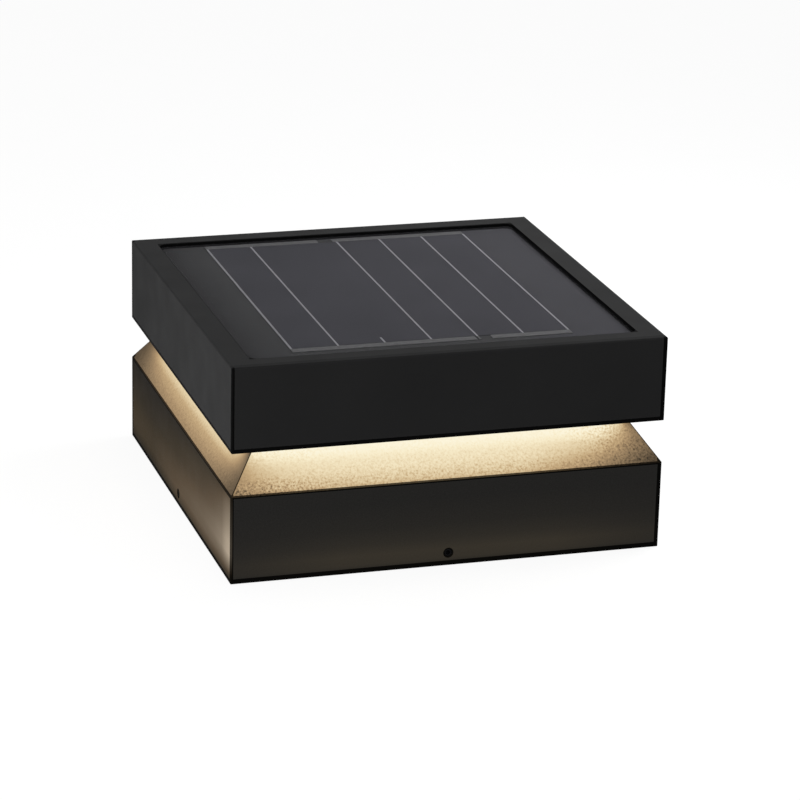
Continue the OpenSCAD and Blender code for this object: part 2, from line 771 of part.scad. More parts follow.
module switch_seal() {
  color([0.15, 0.15, 0.15]) at_switch(tray_z - switch_seal_t) difference() {
    cylinder(h = switch_seal_t, d = bezel_d - 1);
    translate([0, 0, -past]) cylinder(h = switch_seal_t + 2 * past, d = barrel_d + 0.2);
  }
}

module switch_nut() {
  color("silver") at_switch(tray_top) difference() {
    cylinder(h = nut_t, d = nut_af / cos(30), $fn = 6);
    translate([0, 0, -past]) cylinder(h = nut_t + 2 * past, d = barrel_d + 2 * thread_gap);
  }
}

module switch_rear() {
  color([0.1, 0.1, 0.1]) at_switch(barrel_top) {
    cylinder(h = switch_rear_h, d = barrel_d);
    for (s = [-1, 1])
      translate([-lug[0] / 2, s * lug_half_pitch - lug[1] / 2, switch_rear_h - eps])
      cube([lug[0], lug[1], lug[2] + eps]);
  }
}

module power_button() {
  top_bevel = 0.5;
  color([0.75, 0.1, 0.08]) at_switch(flange_z - button_out) {
    cylinder(h = top_bevel, d1 = button_d - 2 * top_bevel, d2 = button_d);
    translate([0, 0, top_bevel]) cylinder(h = collar_z - flange_z + button_out - top_bevel,
      d = button_d);
    translate([0, 0, collar_z - flange_z + button_out]) cylinder(h = collar[1], d = collar[0]);
  }
}

module button_spring() {
  spring_z = collar_z + collar[1];
  color("silver") at_switch(spring_z) coil(3, 3, 0.5, barrel_top - spring_z, 4);
}

// ---------- Control board and leads ----------

module on_board(x, y) translate([board_xy[0] + x, board_xy[1] + y, board_top]) children();

module control_board() {
  color([0.05, 0.3, 0.15]) translate([board_xy[0], board_xy[1], board_z]) difference() {
    centred_box(board_size);
    at_corners(board_hole[0], board_hole[1]) translate([0, 0, -past])
      cylinder(h = board_size[2] + 2 * past, d = small_screw_d + 0.4);
  }
}

module board_screws() {
  color("silver") on_board(0, 0) at_corners(board_hole[0], board_hole[1]) mirror([0, 0, 1])
    pan_screw(small_screw_d, board_size[2] + standoff_h - 0.8, small_head);
}

module controller_chip() {
  color([0.06, 0.06, 0.06]) on_board(-4, 2) centred_box([chip[0], chip[0], chip[1]]);
}

module power_inductor() {
  color([0.25, 0.25, 0.27]) on_board(10, -4) difference() {
    centred_box([inductor[0], inductor[0], inductor[1]]);
    translate([0, 0, inductor[1] * 0.85]) cylinder(h = inductor[1], r = inductor_core_r);
  }
}

module filter_capacitors() {
  color([0.15, 0.2, 0.5]) for (x = capacitor_x) on_board(x, 4)
    cylinder(h = capacitor[1], d = capacitor[0]);
}

// Three connectors along the board's long edges and one at its right end
module lead_connectors() {
  edge_y = (board_size[1] - connector[1]) / 2;
  color([0.93, 0.93, 0.9]) {
    on_board(panel_plug_x - board_xy[0], edge_y) centred_box(connector);
    on_board(battery_plug_x - board_xy[0], edge_y) centred_box(connector);
    on_board(feed_x - board_xy[0], -edge_y) centred_box(connector);
    on_board((board_size[0] - connector[1]) / 2, switch_plug_y - board_xy[1])
      centred_box([connector[1], connector[0], connector[2]]);
  }
}

// Colour of one lead of a pair: s is 1 for plus and -1 for minus
function lead_colour(s) = s > 0 ? [0.75, 0.05, 0.05] : [0.05, 0.05, 0.05];

module panel_leads() {
  for (s = [-1, 1]) {
    x0 = panel_plug_x + s * lead_half_pitch;
    x1 = grommet_xy[0] + s * lead_half_pitch;
    color(lead_colour(s)) lead([x0, back_edge_y, connector_mid_z],
      [x0, back_edge_y + lead_run, connector_mid_z], [x1, grommet_xy[1], connector_mid_z],
      [x1, grommet_xy[1], backboard_z], [1, 0, 0], 18);
  }
}

module battery_leads() {
  for (s = [-1, 1]) {
    x0 = battery_plug_x + s * lead_half_pitch;
    tab_x = s * (box_in[0] / 2 - contact_t);
    color(lead_colour(s)) lead([x0, back_edge_y, connector_mid_z],
      [x0, battery_y - lead_run, connector_mid_z],
      [tab_x - s * 2.5 * lead_run, battery_y, lead_tab_z],
      [tab_x, battery_y, lead_tab_z], [0, 0, 1], 18);
  }
}

module switch_leads() {
  for (s = [-1, 1]) {
    y0 = switch_plug_y + s * lead_half_pitch;
    y1 = switch_xy[1] + s * lug_half_pitch;
    lug_x = switch_xy[0] - lug[0] / 2;
    color(lead_colour(s)) lead([right_edge_x, y0, connector_mid_z],
      [right_edge_x + lead_run, y0, connector_mid_z], [lug_x - lead_run, y1, lug_mid_z],
      [lug_x, y1, lug_mid_z], [0, 0, 1]);
  }
}

module led_leads() {
  for (s = [-1, 1]) {
    x = feed_x + s * lead_half_pitch;
    color(lead_colour(s)) lead([x, front_edge_y, connector_mid_z],
      [x, feed_y + lead_run / 2, connector_mid_z], [x, feed_y, connector_mid_z],
      [x, feed_y, tray_z], [1, 0, 0]);
  }
}

base_housing();
base_screws();
base_screw_washers();
set_screw_front();
set_screw_back();
set_screw_left();
set_screw_right();
head_housing();
panel_cover();
solar_cells();
cell_ribbons();
panel_backboard();
panel_seal();
wire_grommet();
light_tray();
tray_gasket();
tray_screws();
diffuser_frame();
led_board_front();
led_board_back();
led_board_left();
led_board_right();
led_chips_front();
led_chips_back();
led_chips_left();
led_chips_right();
led_jumpers();
battery_box();
battery_cell();
battery_contact_plus();
battery_contact_minus();
battery_spring();
battery_door();
battery_door_seal();
battery_door_screws();
switch_bezel();
switch_seal();
switch_nut();
switch_rear();
power_button();
button_spring();
control_board();
board_screws();
controller_chip();
power_inductor();
filter_capacitors();
lead_connectors();
panel_leads();
battery_leads();
switch_leads();
led_leads();
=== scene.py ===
"""Looks of a square solar post cap light: black powder coat on the two castings, a solar panel
under a clear sheet, and a ring of warm light between the head and the base's sloped shoulder.

Metres, +Z up, the front of the light towards -Y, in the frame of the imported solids.
"""
import math

import bpy
from mathutils import Matrix, Vector


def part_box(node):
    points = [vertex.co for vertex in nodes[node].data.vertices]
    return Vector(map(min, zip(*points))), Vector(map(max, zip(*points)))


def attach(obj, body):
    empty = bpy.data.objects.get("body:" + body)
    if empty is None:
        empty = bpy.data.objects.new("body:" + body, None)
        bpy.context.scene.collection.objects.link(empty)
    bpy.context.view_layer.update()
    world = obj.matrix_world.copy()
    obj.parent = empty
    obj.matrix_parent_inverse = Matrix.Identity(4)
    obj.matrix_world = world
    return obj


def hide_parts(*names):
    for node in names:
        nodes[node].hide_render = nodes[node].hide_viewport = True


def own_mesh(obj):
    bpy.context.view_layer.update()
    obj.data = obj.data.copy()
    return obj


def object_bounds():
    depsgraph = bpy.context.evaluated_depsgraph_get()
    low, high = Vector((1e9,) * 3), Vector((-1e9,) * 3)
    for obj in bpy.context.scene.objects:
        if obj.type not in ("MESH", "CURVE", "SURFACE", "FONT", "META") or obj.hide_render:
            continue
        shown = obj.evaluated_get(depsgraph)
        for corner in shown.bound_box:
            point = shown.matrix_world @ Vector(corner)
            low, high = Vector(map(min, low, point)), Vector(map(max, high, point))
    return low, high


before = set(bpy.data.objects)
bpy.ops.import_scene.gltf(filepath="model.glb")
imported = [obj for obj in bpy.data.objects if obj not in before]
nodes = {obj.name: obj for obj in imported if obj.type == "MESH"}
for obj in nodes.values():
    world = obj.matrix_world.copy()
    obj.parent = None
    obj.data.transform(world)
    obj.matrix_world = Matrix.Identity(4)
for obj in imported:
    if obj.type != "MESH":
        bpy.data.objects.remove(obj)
CAD_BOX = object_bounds()

MM = 0.001

# Camera, fitted to the outlines of the head and the base in the photograph
CAMERA_PLACE = (-0.326, -1.0736, 0.42)
CAMERA_YAW = -17.13
CAMERA_PITCH = 19.01
CAMERA_ROLL = 1.42
CAMERA_LENS = 151.9  # in millimetres, as the sensor's width
SENSOR_WIDTH = 36

# Lamps: name, degrees from the front towards the right, degrees up, distance, width, level.
# A level of 1 lights a white surface that faces the lamp to white.
LAMPS = (
    ("left_low", -72, 3, 0.32, 0.12, 0.36),
    ("right_high", 105, 48, 0.42, 0.25, 0.54),
    ("front_fill", -20, 20, 1.6, 1.0, 0.13),
)
LAMP_AIM = Vector((0, 0, 40 * MM))
WORLD_LEVEL = 0.3
FLOOR_HALF = 8
FLOOR_DROP = 0.05 * MM  # keeps the floor out of the plane of the light's lower rim
FLOOR_COLOUR = 0.2
FLOOR_TO_WHITE = 0.9  # what the camera sees added to the floor's own light

# The two castings
HALF_WIDTH = CAD_BOX[1].x
TOP = CAD_BOX[1].z
SKIRT_TOP = 30.5 * MM  # where the shoulder begins
HEAD_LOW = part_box("head_housing")[0].z
RECESS_HALF = 67 * MM  # of the panel's square recess
RECESS_REACH = 10 * MM  # down from the top, and more than the recess is deep
SCREW_Z = (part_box("set_screw_front")[0].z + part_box("set_screw_front")[1].z) / 2
SCREW_HOLE_RADIUS = 1.8 * MM

# How far from a face a place still counts as part of it
RECESS_MARGIN = 0.1 * MM  # the recess walls
FOLD_MARGIN = 0.2 * MM  # the foot of the shoulder
TOP_MARGIN = 0.3 * MM  # the head's top
SIDE_MARGIN = 0.6 * MM  # the base's sides, with their rounded edges
WALL_MARGIN = 2 * MM  # the base's sides, with the mouths of the bores through them

# Dark lines of painted shade along the coat's edges, creases and the panel's recess
EDGE_LINE = 1.0 * MM  # up the corners
END_LINE = 1.6 * MM  # down the right end of the front
BACK_LINE = 2.4 * MM  # down the back end of the left side
LIP_LINE = 1.6 * MM  # round the head's lower edge
FOOT_LINE = 1.9 * MM  # round the base's lower edge
FOLD_LINE = 0.5 * MM  # above and below the fold between skirt and shoulder
RIDGE_LINE = 0.3 * MM  # to either side of the shoulder's ridges
RECESS_LINE = 1.0 * MM  # along the back of the panel's recess
RIM_LINE = 2.8 * MM  # along the front of the rim
RIM_STRENGTH = 0.3  # of that line, against 1 for the others
EDGE_SHADE = 0.15  # what a line of painted shade leaves of the coat's own colour
EDGE_GLOW = 0.1  # what it leaves of the painted light on the coat

# Lamp ring, as the line of painted light that each slope sees: the ends of that line, and how far
# away it is at the top of the slope and for each millimetre down
FRONT_LINE = (-71 * MM, 63.5 * MM)
SIDE_LINE = (-62 * MM, 57 * MM)
RING_NEAR = 6 * MM
RING_FALL = 1.8
RING_LEVEL_Z = 40.5 * MM
RING_NEAREST = 2 * MM  # the least that the distance can be


# ---------- Nodes ----------

def add(tree, kind, inputs=None, **settings):
    """Adds a shader node. An input is a number, a colour or another node's output."""
    made = tree.nodes.new("ShaderNode" + kind)
    for key, value in settings.items():
        setattr(made, key, value)
    for key, value in (inputs or {}).items():
        if isinstance(value, bpy.types.NodeSocket):
            tree.links.new(value, made.inputs[key])
        else:
            made.inputs[key].default_value = value
    return made


def maths(tree, operation, *values):
    """Result of one operation on numbers or outputs."""
    return add(tree, "Math", dict(enumerate(values)), operation=operation).outputs[0]


def chain(tree, operation, values):
    """Result of the operation on the first two values, then on that and the next one."""
    found = values[0]
    for value in values[1:]:
        found = maths(tree, operation, found, value)
    return found


def product(tree, *values):
    """Product of the values, so 1 where all of them are 1."""
    return chain(tree, "MULTIPLY", values)


def largest(tree, *values):
    """Largest of the values, so 1 where any of them is 1."""
    return chain(tree, "MAXIMUM", values)


def above(tree, value, limit):
    """1 where value is above limit."""
    return maths(tree, "GREATER_THAN", value, limit)


def below(tree, value, limit):
    """1 where value is below limit."""
    return maths(tree, "LESS_THAN", value, limit)


def near(tree, value, target, margin):
    """1 where value lies within margin of target."""
    return maths(tree, "COMPARE", value, target, margin)


def choose(tree, factor, low, high):
    """Number that goes from low to high as factor goes from 0 to 1."""
    return add(tree, "Mix", {0: factor, 2: low, 3: high}).outputs[0]


def mixed(tree, factor, low, high):
    """Colour that goes from low to high as factor goes from 0 to 1."""
    return add(tree, "Mix", {0: factor, 6: low, 7: high}, data_type="RGBA").outputs[2]


def scaled(tree, colour, scale):
    """The colour times a number."""
    return add(tree, "VectorMath", {0: colour, "Scale": scale}, operation="SCALE").outputs[0]


def combined(tree, operation, colour, other):
    """Result of one operation on two colours."""
    return add(tree, "VectorMath", {0: colour, 1: other}, operation=operation).outputs[0]


def ramp(tree, factor, stops):
    """Output that follows stops of (place, grey or colour) as factor goes from 0 to 1."""
    made = add(tree, "ValToRGB", {"Fac": factor})
    elements = made.color_ramp.elements
    while len(elements) < len(stops):
        elements.new(0.5)
    for element, (place, value) in zip(elements, stops):
        colour = value if isinstance(value, tuple) else (value, value, value)
        element.position = place
        element.color = (*colour, 1)
    return made.outputs["Color"]


def object_place(tree):
    """Place in the object's own coordinates."""
    return add(tree, "TexCoord").outputs["Object"]


def split(tree, place):
    """The x, y and z of a place."""
    parts = add(tree, "SeparateXYZ", {0: place}).outputs
    return parts[0], parts[1], parts[2]


def noise(tree, place, size, detail=2, roughness=0.5):
    """Noise from 0 to 1 whose lumps are about size metres across."""
    inputs = {"Vector": place, "Scale": 1 / size, "Detail": detail, "Roughness": roughness}
    return add(tree, "TexNoise", inputs).outputs["Fac"]


# ---------- Materials in general ----------

PATCH_GRAINS = 14  # width of a plain surface's patches of colour, in grains
GLOSS_GRAINS = 6  # and of its patches of gloss
GLOSS_SWING = 0.08  # of the roughness, either way
BRUSH_LINE = 3 * MM  # length of a line in brushed metal
BRUSH_SLIMNESS = 30  # that length, in widths
BRUSH_SWING = (-0.08, 0.1)  # of its roughness, down and up


def new_material(name, roughness, specular=0.5, metallic=0.0):
    """A material, its node tree and its shader."""
    material = bpy.data.materials.new(name)
    material.use_nodes = True
    shader = material.node_tree.nodes["Principled BSDF"]
    shader.inputs["Roughness"].default_value = roughness
    shader.inputs["Specular IOR Level"].default_value = specular
    shader.inputs["Metallic"].default_value = metallic
    return material, material.node_tree, shader


def vary_colour(tree, shader, factor, colour, spread):
    """Colour that swings by the share spread either side as factor goes from 0.25 to 0.75."""
    low = tuple(c * (1 - spread) for c in colour)
    high = tuple(c * (1 + spread) for c in colour)
    tree.links.new(ramp(tree, factor, ((0.25, low), (0.75, high))), shader.inputs["Base Color"])


def vary_roughness(tree, shader, factor, low, high):
    """Roughness that goes from low to high as factor goes from 0.25 to 0.75."""
    tree.links.new(ramp(tree, factor, ((0.25, low), (0.75, high))), shader.inputs["Roughness"])


def bump(tree, shader, height, depth):
    """Relief of a depth in metres, for a height from 0 to 1."""
    inputs = {"Height": height, "Distance": depth, "Strength": 1.0}
    tree.links.new(add(tree, "Bump", inputs).outputs["Normal"], shader.inputs["Normal"])


def worn(name, colour, roughness, grain, depth, spread=0.12, specular=0.5):
    """Plain surface: grain of a size and depth, faint patches of colour and uneven gloss."""
    material, tree, shader = new_material(name, roughness, specular)
    place = object_place(tree)
    patches = noise(tree, place, PATCH_GRAINS * grain, detail=4)
    vary_colour(tree, shader, patches, colour, spread)
    gloss = noise(tree, place, GLOSS_GRAINS * grain, detail=3)
    vary_roughness(tree, shader, gloss, roughness - GLOSS_SWING, roughness + GLOSS_SWING)
    bump(tree, shader, noise(tree, place, grain), depth)
    return material


def brushed(name, colour, roughness, along=(1, 0, 0)):
    """Metal with fine lines along one axis."""
    material, tree, shader = new_material(name, roughness, metallic=0.9)
    squeeze = tuple(1 if share else BRUSH_SLIMNESS for share in along)
    place = add(tree, "Mapping", {"Vector": object_place(tree), "Scale": squeeze}).outputs[0]
    lines = noise(tree, place, BRUSH_LINE, detail=3)
    vary_colour(tree, shader, lines, colour, 0.15)
    vary_roughness(tree, shader, lines, *(roughness + swing for swing in BRUSH_SWING))
    bump(tree, shader, lines, 0.02 * MM)
    return material


# ---------- Both castings ----------

UPWARD = 0.3  # height of the normal above which a surface faces up


def square_place(tree, place):
    """How far a place lies out towards the nearest side, and how far sideways along it."""
    x, y, _ = split(tree, place)
    side_x, side_y = maths(tree, "ABSOLUTE", x), maths(tree, "ABSOLUTE", y)
    return maths(tree, "MAXIMUM", side_x, side_y), maths(tree, "MINIMUM", side_x, side_y)


def faces_up(tree):
    """1 where the surface leans upward, as the shoulder's outside does."""
    return above(tree, split(tree, add(tree, "TexCoord").outputs["Normal"])[2], UPWARD)


def on_shoulder(tree, z, margin=0.0):
    """1 on the shoulder's outside, from a margin below its foot."""
    return product(tree, faces_up(tree), above(tree, z, SKIRT_TOP - margin))


def front_or_back(tree, x, y):
    """1 where the front or the back is the nearest side, 0 where the left or the right is."""
    return above(tree, maths(tree, "ABSOLUTE", y), maths(tree, "ABSOLUTE", x))


def corner_lines(tree, place):
    """1 up the corners, where shade is painted, wider at the right end of the front and the back
    end of the left side.
    """
    x, y, _ = split(tree, place)
    corner = above(tree, square_place(tree, place)[1], HALF_WIDTH - EDGE_LINE)
    right_end = above(tree, x, HALF_WIDTH - END_LINE)
    on_front = below(tree, y, EDGE_LINE - HALF_WIDTH)
    back_end = above(tree, y, HALF_WIDTH - BACK_LINE)
    on_left = below(tree, x, EDGE_LINE - HALF_WIDTH)
    return largest(tree, corner, product(tree, right_end, on_front),
                   product(tree, back_end, on_left))


def shaded(tree, colour, where, share):
    """The colour, brought down to a share of itself where the factor is 1."""
    return scaled(tree, colour, choose(tree, where, 1.0, share))


# ---------- Coat of the head ----------

def recess_lines(tree, place):
    """1 on the walls of the panel's recess and on the rim along its back, where shade is painted.
    """
    x, y, z = split(tree, place)
    walls = below(tree, square_place(tree, place)[0], RECESS_HALF + RECESS_MARGIN)
    at_back = product(tree, near(tree, y, RECESS_HALF, RECESS_LINE),
                      near(tree, x, 0.0, RECESS_HALF))
    return product(tree, largest(tree, walls, at_back), above(tree, z, TOP - RECESS_REACH))


def rim_line(tree, place):
    """A fainter line of painted shade on the head's top, along the front of the rim."""
    _, y, z = split(tree, place)
    return product(tree, below(tree, y, RIM_LINE - HALF_WIDTH), above(tree, z, TOP - TOP_MARGIN),
                   RIM_STRENGTH)


def head_shade_lines(tree, place):
    """1 on the head's lines of painted shade."""
    lip = below(tree, split(tree, place)[2], HEAD_LOW + LIP_LINE)
    return largest(tree, corner_lines(tree, place), lip, recess_lines(tree, place),
                   rim_line(tree, place))


def head_coat():
    """Smooth satin powder coat: faint orange peel, a trace of dust, and lines of painted shade."""
    material, tree, shader = new_material("head_coat", 0.55, specular=0.005)
    place = object_place(tree)
    dust = noise(tree, place, 30 * MM, detail=5)
    colour = ramp(tree, dust, ((0.25, (0.0357, 0.0357, 0.0362)), (0.75, (0.0403, 0.0403, 0.0408))))
    tree.links.new(shaded(tree, colour, head_shade_lines(tree, place), EDGE_SHADE),
                   shader.inputs["Base Color"])
    vary_roughness(tree, shader, noise(tree, place, 12 * MM, detail=4), 0.48, 0.62)
    peel = noise(tree, place, 1.1 * MM, detail=3, roughness=0.6)
    bump(tree, shader, peel, 0.012 * MM)
    return material


# ---------- Painted light on the shoulder ---
# The back of the shoulder is painted as lit as the front is, and the right as the left.

# tones of the painted light on the shoulder, for its level from 0 to 1
SHOULDER_TONES = (
    (0.0, (0, 0, 0)),
    (0.2, (0.2, 0.136, 0.074)),
    (0.4, (0.4, 0.268, 0.14)),
    (0.54, (0.54, 0.38, 0.2)),
    (0.7, (0.7, 0.55, 0.33)),
    (0.84, (0.84, 0.71, 0.47)),
    (0.93, (0.93, 0.83, 0.59)),
    (1.0, (0.97, 0.91, 0.72)),
)


def line_light(tree, along, ends, gap):
    """Share of a long line's light that is left at along, by the line's ends and its distance."""
    gap_squared = product(tree, gap, gap)
    reaches = (maths(tree, "SUBTRACT", along, ends[0]), maths(tree, "SUBTRACT", ends[1], along))
    shares = []
    for reach in reaches:
        slant = maths(tree, "SQRT", maths(tree, "MULTIPLY_ADD", reach, reach, gap_squared))
        shares.append(maths(tree, "DIVIDE", reach, slant))
    return product(tree, maths(tree, "ADD", *shares), 0.5)


def ring_light(tree, place, is_front):
    """Share of the lamp ring's light that is painted on a place of its slope."""
    x, y, z = split(tree, place)
    along = choose(tree, is_front, y, x)
    ends = [choose(tree, is_front, side, front) for side, front in zip(SIDE_LINE, FRONT_LINE)]
    below_ring = maths(tree, "SUBTRACT", RING_LEVEL_Z, z)
    gap = maths(tree, "MULTIPLY_ADD", below_ring, RING_FALL, RING_NEAR)
    return line_light(tree, along, ends, maths(tree, "MAXIMUM", gap, RING_NEAREST))


def slope_level(tree, is_front, height):
    """Level of the painted light up the slope, where height is 0 at its foot and 1 under the head.
    """
    front = ramp(tree, height, ((0.03, 0.64), (0.12, 0.74), (0.33, 0.86), (0.5, 0.89), (0.6, 0.94),
                                (0.7, 0.98), (1, 1)))
    side = ramp(tree, height, ((0.03, 0.37), (0.12, 0.41), (0.23, 0.49), (0.33, 0.56), (0.42, 0.72),
                               (0.6, 0.9), (1, 1)))
    return choose(tree, is_front, side, front)


def right_end_level(tree, is_front, to_right, height):
    """Level of the painted light along the foot of the front, which falls off towards the right."""
    at_foot = product(tree, is_front, ramp(tree, height, ((0.1, 1), (0.6, 0))))
    along_foot = ramp(tree, to_right, ((0.35, 1), (0.7, 0.7), (1, 0.36)))
    return choose(tree, at_foot, 1.0, along_foot)


def everywhere_rough(tree, height):
    """How strongly the sand shows on the shoulder, which is most at its foot."""
    return ramp(tree, height, ((0, 0.4), (0.2, 0.31), (0.32, 0.19), (0.55, 0.09), (0.7, 0.045)))


def ends_rough(tree, to_right, height):
    """The same towards the ends of the front: at the foot of both, and all the way up the right."""
    outward = ramp(tree, maths(tree, "ABSOLUTE", to_right), ((0.3, 0), (0.85, 1)))
    low = ramp(tree, height, ((0.1, 1), (0.35, 0.15)))
    right = ramp(tree, to_right, ((0.5, 0), (0.9, 1)))
    high = ramp(tree, height, ((0.1, 1), (0.5, 0.65), (0.8, 0.45)))
    return largest(tree, product(tree, outward, low), product(tree, right, high))


def sand_level(tree, is_front, to_right, height, sand):
    """Level of the painted light on the sand's grains, which stand out where the light is low."""
    speckled = ramp(tree, sand, ((0.3, 0.05), (0.42, 0.68), (0.5, 1), (0.7, 1.5)))
    rough = largest(tree, everywhere_rough(tree, height),
                    product(tree, is_front, ends_rough(tree, to_right, height)))
    return choose(tree, rough, 1.0, speckled)


def shoulder_light(tree, place, sand):
    """Light of the lamp ring, painted on the shoulder."""
    x, y, z = split(tree, place)
    is_front = front_or_back(tree, x, y)
    to_right = maths(tree, "DIVIDE", x, HALF_WIDTH)
    height = maths(tree, "DIVIDE", maths(tree, "SUBTRACT", z, SKIRT_TOP), HEAD_LOW - SKIRT_TOP)
    level = product(tree, slope_level(tree, is_front, height), ring_light(tree, place, is_front),
                    right_end_level(tree, is_front, to_right, height),
                    sand_level(tree, is_front, to_right, height, sand))
    return scaled(tree, ramp(tree, level, SHOULDER_TONES), on_shoulder(tree, z, FOLD_MARGIN))


# ---------- Painted light on the skirt ---

FRONT_TONE = (1.0, 0.76, 0.42)
FRONT_LIFT = (0.0085, 0.0081, 0.0073)  # painted light added at every height
# tones of the painted light on the left side, for its level
LEFT_TONES = (
    (0.0, (0, 0, 0)),
    (0.03, (0.03, 0.02, 0.008)),
    (0.08, (0.08, 0.053, 0.028)),
    (0.28, (0.28, 0.224, 0.162)),
    (0.45, (0.45, 0.365, 0.27)),
)


def front_spill(tree, x, height):
    """Faint painted light low on every side but the left, less towards the ends of the front."""
    up = ramp(tree, height, ((0.03, 0.006), (0.1, 0.019), (0.2, 0.0215), (0.33, 0.011),
                             (0.5, 0.004), (0.8, 0)))
    across = maths(tree, "DIVIDE", maths(tree, "ABSOLUTE", x), HALF_WIDTH)
    level = product(tree, up, ramp(tree, across, ((0.5, 1), (0.95, 0.45))))
    return combined(tree, "ADD", scaled(tree, FRONT_TONE, level), FRONT_LIFT)


def left_spill(tree, y, height):
    """Painted light on the left: a pool at the front corner and a band along the bottom."""
    forward = maths(tree, "DIVIDE", maths(tree, "SUBTRACT", HALF_WIDTH, y), 2 * HALF_WIDTH)
    pool_along = ramp(tree, forward, ((0.5, 0.01), (0.75, 0.05), (0.85, 0.1), (0.92, 0.18),
                                      (0.96, 0.33), (1, 0.42)))
    pool_up = ramp(tree, height, ((0.1, 0), (0.2, 0.3), (0.33, 0.95), (0.46, 0.95), (0.7, 0.58),
                                  (0.88, 0.38), (1, 0.2)))
    band_along = ramp(tree, forward, ((0, 0.035), (0.25, 0.035), (0.5, 0.082), (0.75, 0.1),
                                      (0.85, 0.1), (1, 0.06)))
    band_up = ramp(tree, height, ((0.03, 0.2), (0.1, 0.6), (0.2, 1), (0.33, 0.8), (0.6, 0.36),
                                  (1, 0.1)))
    pool = product(tree, pool_along, pool_up)
    return ramp(tree, maths(tree, "MULTIPLY_ADD", band_along, band_up, pool), LEFT_TONES)


def skirt_light(tree, place):
    """Painted light that spills on the outside of the skirt."""
    x, y, z = split(tree, place)
    height = maths(tree, "DIVIDE", z, SKIRT_TOP)
    on_left = below(tree, x, SIDE_MARGIN - HALF_WIDTH)
    spill = mixed(tree, on_left, front_spill(tree, x, height), left_spill(tree, y, height))
    outside = above(tree, square_place(tree, place)[0], HALF_WIDTH - SIDE_MARGIN)
    return scaled(tree, spill, product(tree, outside, below(tree, z, SKIRT_TOP)))


# ---------- Coat of the base ----------

def screw_holes(tree, sideways, z):
    """1 in the set screws' holes, one in the middle of each side, where shade is painted."""
    rise = maths(tree, "SUBTRACT", z, SCREW_Z)
    from_axis = maths(tree, "SQRT", maths(tree, "MULTIPLY_ADD", rise, rise,
                                          product(tree, sideways, sideways)))
    return below(tree, from_axis, SCREW_HOLE_RADIUS)


def base_shade_lines(tree, place):
    """1 on the base's lines of painted shade, and in the set screws' holes."""
    outward, sideways = square_place(tree, place)
    z = split(tree, place)[2]
    foot = below(tree, z, FOOT_LINE)
    fold = near(tree, z, SKIRT_TOP, FOLD_LINE)
    ridge = product(tree, near(tree, outward, sideways, RIDGE_LINE), on_shoulder(tree, z))
    return largest(tree, corner_lines(tree, place), foot, fold, ridge,
                   screw_holes(tree, sideways, z))


def base_inside(tree, place):
    """1 on the surfaces inside the base, which the spray hardly reaches."""
    within = below(tree, square_place(tree, place)[0], HALF_WIDTH - WALL_MARGIN)
    shoulder = on_shoulder(tree, split(tree, place)[2])
    return product(tree, within, maths(tree, "SUBTRACT", 1.0, shoulder))


def base_colour(tree, place, sand):
    """Black on the outside, thinner and cloudy inside."""
    coat = ramp(tree, sand, ((0.25, (0.018, 0.0177, 0.0173)), (0.75, (0.026, 0.0255, 0.025))))
    clouds = noise(tree, place, 18 * MM, detail=5)
    thin_coat = ramp(tree, clouds, ((0.3, (0.035, 0.035, 0.036)), (0.7, (0.1, 0.1, 0.102))))
    return mixed(tree, base_inside(tree, place), coat, thin_coat)


def base_coat():
    """Sand-textured powder coat with lines of painted shade, and the lamp ring's light painted on
    as a glow.
    """
    material, tree, shader = new_material("base_coat", 0.7, specular=0.005)
    place = object_place(tree)
    shade_lines = base_shade_lines(tree, place)
    sand = noise(tree, place, 0.75 * MM, detail=3, roughness=0.65)
    colour = base_colour(tree, place, sand)
    tree.links.new(shaded(tree, colour, shade_lines, EDGE_SHADE), shader.inputs["Base Color"])
    vary_roughness(tree, shader, noise(tree, place, 9 * MM, detail=4), 0.62, 0.8)
    bump(tree, shader, sand, 0.06 * MM)
    # painted light: the lamp ring's glow on the shoulder and its spill on the skirt, given as
    # emission
    light = combined(tree, "ADD", shoulder_light(tree, place, sand), skirt_light(tree, place))
    tree.links.new(shaded(tree, light, shade_lines, EDGE_GLOW), shader.inputs["Emission Color"])
    shader.inputs["Emission Strength"].default_value = 1.0
    return material


# ---------- Panel and lamps ----------

FINGER_PITCH = 1.6 * MM  # of the cells' printed lines
FINGER_WIDTH = 0.06  # of that pitch
FINGER_STRENGTH = 0.12
BAR_WIDTH = 3.6 * MM  # of the tinned bars at the ends of the strips
COVER_HAZE = 0.14  # share of the cover sheet that isn't clear
LED_PITCH = 15 * MM
CLOUD_SHARE = 0.25  # of the clouds in the diffuser's light, against the LEDs


def cover_sheet():
    """Clear matt sheet, a little milky."""
    material, tree, shader = new_material("cover_sheet", 0.35, specular=0.003)
    place = object_place(tree)
    vary_roughness(tree, shader, noise(tree, place, 20 * MM, detail=5), 0.3, 0.42)
    vary_colour(tree, shader, noise(tree, place, 25 * MM, detail=4), (0.09, 0.09, 0.096), 0.15)
    bump(tree, shader, noise(tree, place, 0.8 * MM), 0.002 * MM)
    shader.inputs["Alpha"].default_value = COVER_HAZE
    return material


def silicon_cells():
    """Dark slate cells with faint finger lines across each strip, their tone raised as a painted
    sheen.
    """
    material, tree, shader = new_material("silicon_cells", 0.4, specular=0.003)
    place = object_place(tree)
    y = split(tree, place)[1]
    finger = maths(tree, "FRACT", maths(tree, "DIVIDE", y, FINGER_PITCH))
    line = product(tree, below(tree, finger, FINGER_WIDTH), FINGER_STRENGTH)
    cloud = noise(tree, place, 22 * MM, detail=4)
    # tone raised to stand in for the cover's sheen, a painted sheen
    ground = ramp(tree, cloud, ((0.25, (0.086, 0.085, 0.099)), (0.75, (0.1, 0.099, 0.115))))
    printed = mixed(tree, line, ground, (0.3, 0.3, 0.32, 1))
    tree.links.new(printed, shader.inputs["Base Color"])
    vary_roughness(tree, shader, noise(tree, place, 3 * MM, detail=3), 0.34, 0.46)
    bump(tree, shader, noise(tree, place, 0.3 * MM), 0.004 * MM)
    return material


